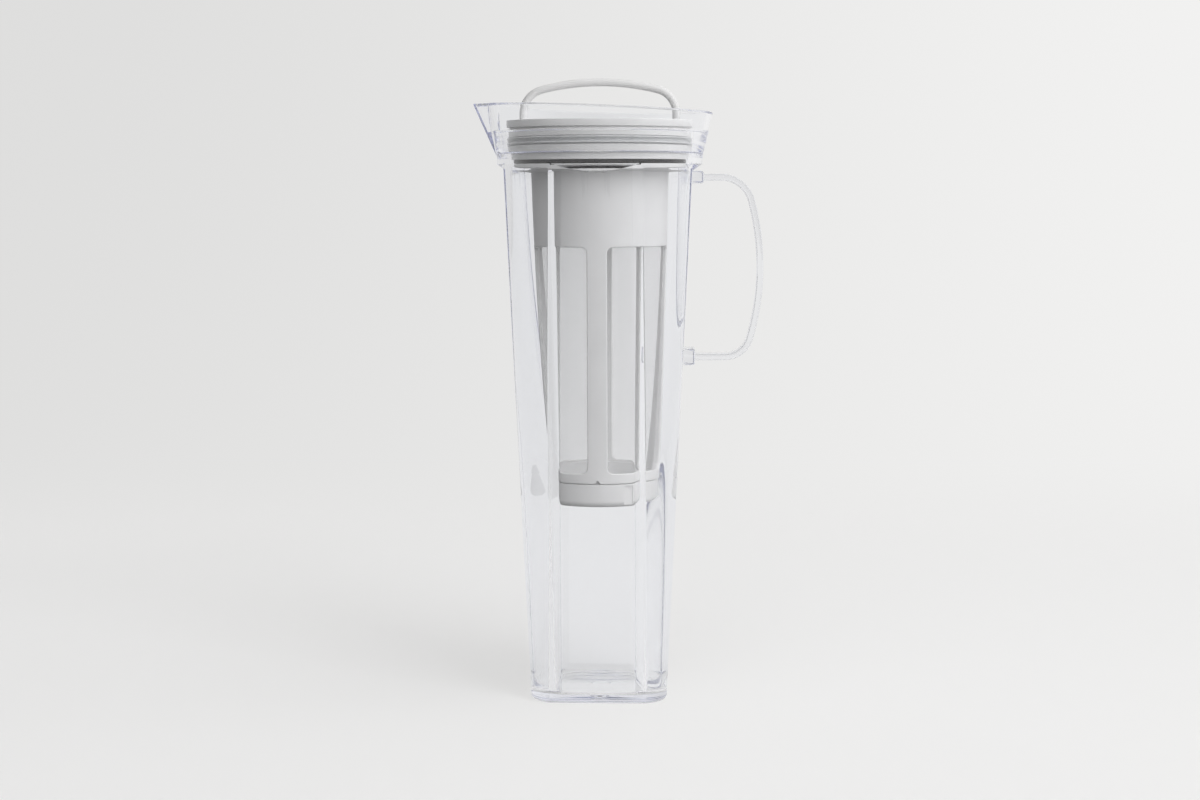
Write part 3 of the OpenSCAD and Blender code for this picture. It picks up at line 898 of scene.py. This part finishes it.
def make_cap(material):
    """Cup with a round foot, a thumb recess, a fine groove at its seam and a spigot for the tube."""
    inner_r, floor_z, spigot_z = SPIGOT_R - SPIGOT_T, CAP_Z + CAP_FLOOR_T, TUBE_Z + SPIGOT_H
    seam_r, seam_z = CAP_R - SEAM_DEPTH, TUBE_Z - SEAM_H
    upper = [
        (CAP_R, THUMB_TOP + THUMB_STEP), (CAP_R, seam_z), (seam_r, seam_z), (seam_r, TUBE_Z),
        (SPIGOT_R, TUBE_Z), (SPIGOT_R, spigot_z), (inner_r, spigot_z), (inner_r, floor_z), (0, floor_z),
    ]
    profile = [(0, CAP_Z)]
    for angle in spread(-math.pi / 2, 0, 2 * ROUND_STEPS):
        out, up = CAP_ROUND * math.cos(angle), CAP_ROUND * math.sin(angle)
        profile.append((CAP_R - CAP_ROUND + out, CAP_Z + CAP_ROUND + up))
    profile.append((CAP_R, THUMB_TOP - THUMB_STEP))
    profile += soften(upper, CAP_BREAK, closed=False)
    turns = full_turn(LATHE_STEPS)
    for side in (-1, 1):
        for step in (-THUMB_STEP_TURN, THUMB_STEP_TURN):
            turns.append((THUMB_ANGLE + side * math.radians(THUMB_HALF + step)) % (2 * math.pi))
    points, faces = lathe(profile, closed=False, turns=sorted(turns), radius_at=thumb_radius)
    return add_mesh("strainer_base_cap", points, faces, material)


# Materials


def new_material(name, color, roughness):
    material = bpy.data.materials.new(name)
    material.use_nodes = True
    shader = material.node_tree.nodes["Principled BSDF"]
    shader.inputs["Base Color"].default_value = (*color, 1)
    shader.inputs["Roughness"].default_value = roughness
    return material, material.node_tree, shader


def add_noise(tree, scale, detail=3.0):
    """Noise over the object's own space, in metres."""
    place = tree.nodes.new("ShaderNodeTexCoord")
    noise = tree.nodes.new("ShaderNodeTexNoise")
    noise.inputs["Scale"].default_value = scale
    noise.inputs["Detail"].default_value = detail
    tree.links.new(place.outputs["Object"], noise.inputs["Vector"])
    return noise


def add_range(tree, source, low, high):
    """Source between 0 and 1 taken to a range."""
    node = tree.nodes.new("ShaderNodeMapRange")
    node.inputs["To Min"].default_value = low
    node.inputs["To Max"].default_value = high
    tree.links.new(source, node.inputs["Value"])
    return node.outputs["Result"]


def add_math(tree, operation, first, second):
    """Sum or the like of two values, each a number or another node's output."""
    node = tree.nodes.new("ShaderNodeMath")
    node.operation = operation
    for socket, value in zip(node.inputs, (first, second)):
        if isinstance(value, float):
            socket.default_value = value
        else:
            tree.links.new(value, socket)
    return node.outputs["Value"]


def add_bump(tree, shader, height, strength, distance):
    """Relief of a height between 0 and 1, as deep as distance in metres."""
    bump = tree.nodes.new("ShaderNodeBump")
    bump.inputs["Strength"].default_value = strength
    bump.inputs["Distance"].default_value = distance
    tree.links.new(height, bump.inputs["Height"])
    tree.links.new(bump.outputs["Normal"], shader.inputs["Normal"])


def add_tint(tree, shader, source, shades):
    """Colour that drifts between two close shades."""
    ramp = tree.nodes.new("ShaderNodeValToRGB")
    for stop, shade, position in zip(ramp.color_ramp.elements, shades, TINT_SPAN):
        stop.color = (*shade, 1)
        stop.position = position
    tree.links.new(source, ramp.inputs["Fac"])
    tree.links.new(ramp.outputs["Color"], shader.inputs["Base Color"])


def clear_plastic(name, ripples, haze):
    """Clear moulded plastic with a faint blue cast through its thickness and slight flow ripples."""
    material, tree, shader = new_material(name, CLEAR_TINT, 0.0)
    shader.inputs["Transmission Weight"].default_value = 1.0
    shader.inputs["IOR"].default_value = CLEAR_IOR
    ripple = add_noise(tree, RIPPLE_SCALE, 1.0)
    add_bump(tree, shader, ripple.outputs["Fac"], ripples, RIPPLE_HEIGHT)
    if haze:
        grain = add_noise(tree, HAZE_SCALE)
        tree.links.new(add_range(tree, grain.outputs["Fac"], 0.0, haze), shader.inputs["Roughness"])
    volume = tree.nodes.new("ShaderNodeVolumeAbsorption")
    volume.inputs["Color"].default_value = CLEAR_DEEP
    volume.inputs["Density"].default_value = CLEAR_DENSITY
    tree.links.new(volume.outputs["Volume"], tree.nodes["Material Output"].inputs["Volume"])
    return material


def vary_roughness(tree, shader, source, roughness, change):
    """Roughness that goes up and down by a change about its own value."""
    varied = add_range(tree, source, roughness - change, roughness + change)
    tree.links.new(varied, shader.inputs["Roughness"])


def satin_plastic(name, shades, roughness):
    """Opaque moulded plastic with a fine spark-eroded grain."""
    material, tree, shader = new_material(name, shades[1], roughness)
    drift = add_noise(tree, DRIFT_SCALE, 2.0)
    add_tint(tree, shader, drift.outputs["Fac"], shades)
    grain = add_noise(tree, GRAIN_SCALE, 2.0)
    vary_roughness(tree, shader, grain.outputs["Fac"], roughness, GRAIN_ROUGHNESS)
    add_bump(tree, shader, grain.outputs["Fac"], *GRAIN_BUMP)
    return material


def soft_rubber(name, shades, roughness, shine):
    """Silicone with a faint bloom."""
    material, tree, shader = new_material(name, shades[1], roughness)
    shader.inputs["Specular IOR Level"].default_value = shine
    bloom = add_noise(tree, BLOOM_SCALE)
    add_tint(tree, shader, bloom.outputs["Fac"], shades)
    vary_roughness(tree, shader, bloom.outputs["Fac"], roughness, BLOOM_ROUGHNESS)
    add_bump(tree, shader, bloom.outputs["Fac"], *BLOOM_BUMP)
    return material


def woven_mesh():
    """Fine plain weave: threads in two directions with gaps that let light through."""
    material, tree, shader = new_material("woven_nylon_mesh", WEAVE_BASE, WEAVE_ROUGHNESS)
    cloth = tree.nodes.new("ShaderNodeUVMap")
    cloth.uv_map = "cloth"
    threads = []
    for direction in ("X", "Y"):
        wave = tree.nodes.new("ShaderNodeTexWave")
        wave.wave_type = "BANDS"
        wave.bands_direction = direction
        wave.inputs["Scale"].default_value = WEAVE_SCALE
        tree.links.new(cloth.outputs["UV"], wave.inputs["Vector"])
        threads.append(wave.outputs["Fac"])
    weave = add_math(tree, "MAXIMUM", *threads)
    tree.links.new(add_range(tree, weave, *WEAVE_COVER), shader.inputs["Alpha"])
    add_bump(tree, shader, weave, *WEAVE_BUMP)
    add_tint(tree, shader, weave, WEAVE)
    return material


# Stage


def add_smooth(tree, source, span, values):
    """Source taken smoothly from a span to a pair of values."""
    node = tree.nodes.new("ShaderNodeMapRange")
    node.interpolation_type = "SMOOTHSTEP"
    for name, value in zip(("From Min", "From Max", "To Min", "To Max"), (*span, *values)):
        node.inputs[name].default_value = value
    tree.links.new(source, node.inputs["Value"])
    return node.outputs["Result"]


def add_blend(tree, share, first, second):
    """First value where share is 0 and second where it is 1."""
    rest = add_math(tree, "SUBTRACT", 1.0, share)
    first_part = add_math(tree, "MULTIPLY", first, rest)
    second_part = add_math(tree, "MULTIPLY", second, share)
    return add_math(tree, "ADD", first_part, second_part)


def seen_directly(tree):
    """1 for a ray from the camera, also one through or off glass, and 0 for a ray that lights a surface."""
    path = tree.nodes.new("ShaderNodeLightPath")
    shown = path.outputs["Is Camera Ray"]
    for name in ("Is Glossy Ray", "Is Transmission Ray"):
        shown = add_math(tree, "MAXIMUM", shown, path.outputs[name])
    before_diffuse = add_math(tree, "LESS_THAN", path.outputs["Diffuse Depth"], 0.5)
    return add_math(tree, "MULTIPLY", shown, before_diffuse)


def pale_paper():
    """Paper of the floor, seen in a pale tone with painted shade towards the left far from the object, and
    with its shadow near it.
    """
    material, tree, shader = new_material("pale_paper", (FLOOR_TONE, FLOOR_TONE, FLOOR_TONE), PAPER_ROUGHNESS)
    grain = add_noise(tree, PAPER_SCALE)
    add_bump(tree, shader, grain.outputs["Fac"], *PAPER_BUMP)
    shader.inputs["Specular IOR Level"].default_value = 0.0
    seen = seen_directly(tree)
    place = tree.nodes.new("ShaderNodeNewGeometry")
    parts = tree.nodes.new("ShaderNodeSeparateXYZ")
    tree.links.new(place.outputs["Position"], parts.inputs["Vector"])
    bounce = add_smooth(tree, parts.outputs["X"], BOUNCE_SPAN, BOUNCE_TONES)
    behind = add_smooth(tree, parts.outputs["Y"], BEHIND_SPAN, (0.0, BEHIND_TONE))
    bounce = add_math(tree, "MAXIMUM", bounce, behind)
    tree.links.new(add_blend(tree, seen, bounce, FLOOR_TONE), shader.inputs["Base Color"])
    # Seen glow darker to the left, painted shade of the light falling off
    tone = add_smooth(tree, parts.outputs["X"], BACKDROP_SPAN, BACKDROP_PAINTED_FALLOFF)
    glow = tree.nodes.new("ShaderNodeEmission")
    glow.inputs["Color"].default_value = BACKDROP_TINT
    tree.links.new(tone, glow.inputs["Strength"])
    reach = tree.nodes.new("ShaderNodeVectorMath")
    reach.operation = "LENGTH"
    tree.links.new(place.outputs["Position"], reach.inputs[0])
    back = add_smooth(tree, parts.outputs["Y"], BACKDROP_START, (NEAR_GLOW, 1.0))
    away = add_smooth(tree, reach.outputs["Value"], AWAY_SPAN, (NEAR_GLOW, 1.0))
    far = add_math(tree, "MAXIMUM", back, away)
    # Painted pool of light under the jug, in place of light through its clear floor
    under = add_smooth(tree, reach.outputs["Value"], PAINTED_LIGHT_UNDER_SPAN, (PAINTED_LIGHT_UNDER_JUG, 0.0))
    glow_share = add_math(tree, "MULTIPLY", add_math(tree, "ADD", far, under), seen)
    blend = tree.nodes.new("ShaderNodeMixShader")
    tree.links.new(glow_share, blend.inputs["Fac"])
    tree.links.new(shader.outputs["BSDF"], blend.inputs[1])
    tree.links.new(glow.outputs["Emission"], blend.inputs[2])
    tree.links.new(blend.outputs["Shader"], tree.nodes["Material Output"].inputs["Surface"])
    return material


def make_floor():
    """Floor that curves up into a backdrop."""
    profile = [(FLOOR_FRONT, 0), (SWEEP_START, 0)]
    for angle in spread(0, math.pi / 2, SWEEP_STEPS)[1:]:
        profile.append((SWEEP_START + SWEEP_R * math.sin(angle), SWEEP_R * (1 - math.cos(angle))))
    profile.append((SWEEP_START + SWEEP_R, BACKDROP_H))
    points, faces = [], []
    for y, z in profile:
        points += [(-FLOOR_HALF, y, z), (FLOOR_HALF, y, z)]
    for i in range(len(profile) - 1):
        faces.append([2 * i, 2 * i + 1, 2 * i + 3, 2 * i + 2])
    floor = add_mesh("floor", points, faces, pale_paper())
    if floor.data.polygons[0].normal.z < 0:
        floor.data.flip_normals()


def make_world():
    """Soft dome that lights from the right in front. It looks pale, and its front looks dim in glass."""
    world = bpy.data.worlds.new("studio")
    bpy.context.scene.world = world
    world.use_nodes = True
    # Surfaces meet the dome by their own rays alone, which pass the clear jug
    world.cycles.sampling_method = "NONE"
    tree = world.node_tree
    sky = tree.nodes["Background"]
    place = tree.nodes.new("ShaderNodeTexCoord")
    aim = tree.nodes.new("ShaderNodeVectorMath")
    aim.operation = "DOT_PRODUCT"
    aim.inputs[1].default_value = Vector(KEY_FROM).normalized()
    tree.links.new(place.outputs["Generated"], aim.inputs[0])
    light = add_smooth(tree, aim.outputs["Value"], KEY_SPAN, KEY_LEVELS)
    parts = tree.nodes.new("ShaderNodeSeparateXYZ")
    tree.links.new(place.outputs["Generated"], parts.inputs["Vector"])
    pale = add_smooth(tree, parts.outputs["X"], (-1.0, 1.0), VIEW_SIDES)
    front = add_smooth(tree, parts.outputs["Y"], FRONT_SPAN, FRONT_LEVELS)
    path = tree.nodes.new("ShaderNodeLightPath")
    kept = add_math(tree, "MAXIMUM", front, path.outputs["Is Camera Ray"])
    view = add_math(tree, "MULTIPLY", pale, kept)
    tree.links.new(add_blend(tree, seen_directly(tree), light, view), sky.inputs["Strength"])
    sky.inputs["Color"].default_value = DOME_TINT


def make_lamp():
    """Soft lamp at the right in front, which throws the jug's shadow and isn't seen in or through glass."""
    lamp = bpy.data.lights.new("key", "AREA")
    lamp.shape = "RECTANGLE"
    lamp.size, lamp.size_y = LAMP_SIZE
    lamp.energy = LAMP_POWER
    holder = bpy.data.objects.new("key", lamp)
    holder.location = LAMP_PLACE
    holder.rotation_euler = (-Vector(LAMP_PLACE)).to_track_quat("-Z", "Y").to_euler()
    holder.visible_transmission = False
    holder.visible_glossy = False
    bpy.context.scene.collection.objects.link(holder)


def make_camera():
    data = bpy.data.cameras.new("camera")
    data.lens = CAMERA_LENS
    data.sensor_width = SENSOR_W
    data.sensor_fit = "HORIZONTAL"
    data.clip_start = CLIP_START * MM
    camera = bpy.data.objects.new("camera", data)
    azimuth = math.radians(CAMERA_AZIMUTH)
    right, front = CAMERA_DISTANCE * math.sin(azimuth), CAMERA_DISTANCE * math.cos(azimuth)
    place = Vector((right, -front, CAMERA_HEIGHT)) * MM
    turn = Matrix.Rotation(azimuth + math.radians(CAMERA_PAN), 4, "Z")
    tilt = Matrix.Rotation(math.radians(90 - CAMERA_PITCH), 4, "X")
    roll = Matrix.Rotation(math.radians(CAMERA_ROLL), 4, "Z")
    camera.matrix_world = Matrix.Translation(place) @ turn @ tilt @ roll
    bpy.context.scene.collection.objects.link(camera)
    bpy.context.scene.camera = camera


def dress():
    """Makes every piece and puts it on its body, in place of its node."""
    clear = clear_plastic("clear_moulded_plastic", ripples=0.012, haze=0.006)
    clear_strap = clear_plastic("clear_strap_plastic", ripples=0.002, haze=0.0)
    grey = satin_plastic("grey_satin_plastic", GREY, roughness=0.5)
    lid_grey = satin_plastic("lid_satin_plastic", LID_GREY, roughness=0.28)
    bail_grey = satin_plastic("bail_satin_plastic", BAIL_GREY, roughness=0.32)
    pale = soft_rubber("pale_silicone", PALE_RUBBER, roughness=0.35, shine=0.5)
    black = soft_rubber("black_silicone", BLACK_RUBBER, roughness=0.5, shine=0.1)
    mesh = woven_mesh()
    pieces = [
        (make_jug(clear), "jug", "jug_body", "clear_jug"),
        (make_handle(clear_strap), "jug", "jug_handle", "clear_jug"),
        (make_lid(lid_grey), "lid", "lid_cover", "grey_plastic"),
        (make_gasket(pale), "lid", "lid_gasket", "silicone"),
        (make_seal(black), "lid", "lid_seal", "dark_silicone"),
        (make_bail(bail_grey), "bail", "lid_bail", "grey_bail"),
        (make_strainer(grey), "strainer", "strainer_frame", "grey_plastic"),
        (make_cap(grey), "base_cap", "strainer_base", "grey_plastic"),
    ]
    for quarter, name in enumerate(("rear_right", "rear_left", "front_left", "front_right")):
        panel = make_mesh_panel("fine_mesh_" + name, quarter, mesh)
        pieces.append((panel, "strainer", "mesh_" + name, "nylon_mesh"))
    for piece, body, node, slot in pieces:
        # Rays that light a surface pass the jug, so the strainer is lit alike inside it and outside
        piece.visible_diffuse = slot != "clear_jug"
        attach(piece, body)
        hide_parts(node)


def set_render():
    scene = bpy.context.scene
    scene.view_settings.view_transform = "Standard"
    scene.cycles.max_bounces = LIGHT_BOUNCES
    scene.cycles.glossy_bounces = LIGHT_BOUNCES
    scene.cycles.transmission_bounces = LIGHT_BOUNCES
    scene.cycles.transparent_max_bounces = LIGHT_BOUNCES


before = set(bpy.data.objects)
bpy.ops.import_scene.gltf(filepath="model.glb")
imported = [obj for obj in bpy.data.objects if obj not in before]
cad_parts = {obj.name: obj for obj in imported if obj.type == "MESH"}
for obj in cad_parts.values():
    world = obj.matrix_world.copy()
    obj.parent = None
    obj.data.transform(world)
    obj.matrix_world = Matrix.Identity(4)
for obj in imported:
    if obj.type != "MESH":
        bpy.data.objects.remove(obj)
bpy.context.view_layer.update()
make_camera()
dress()
make_floor()
make_world()
make_lamp()
set_render()
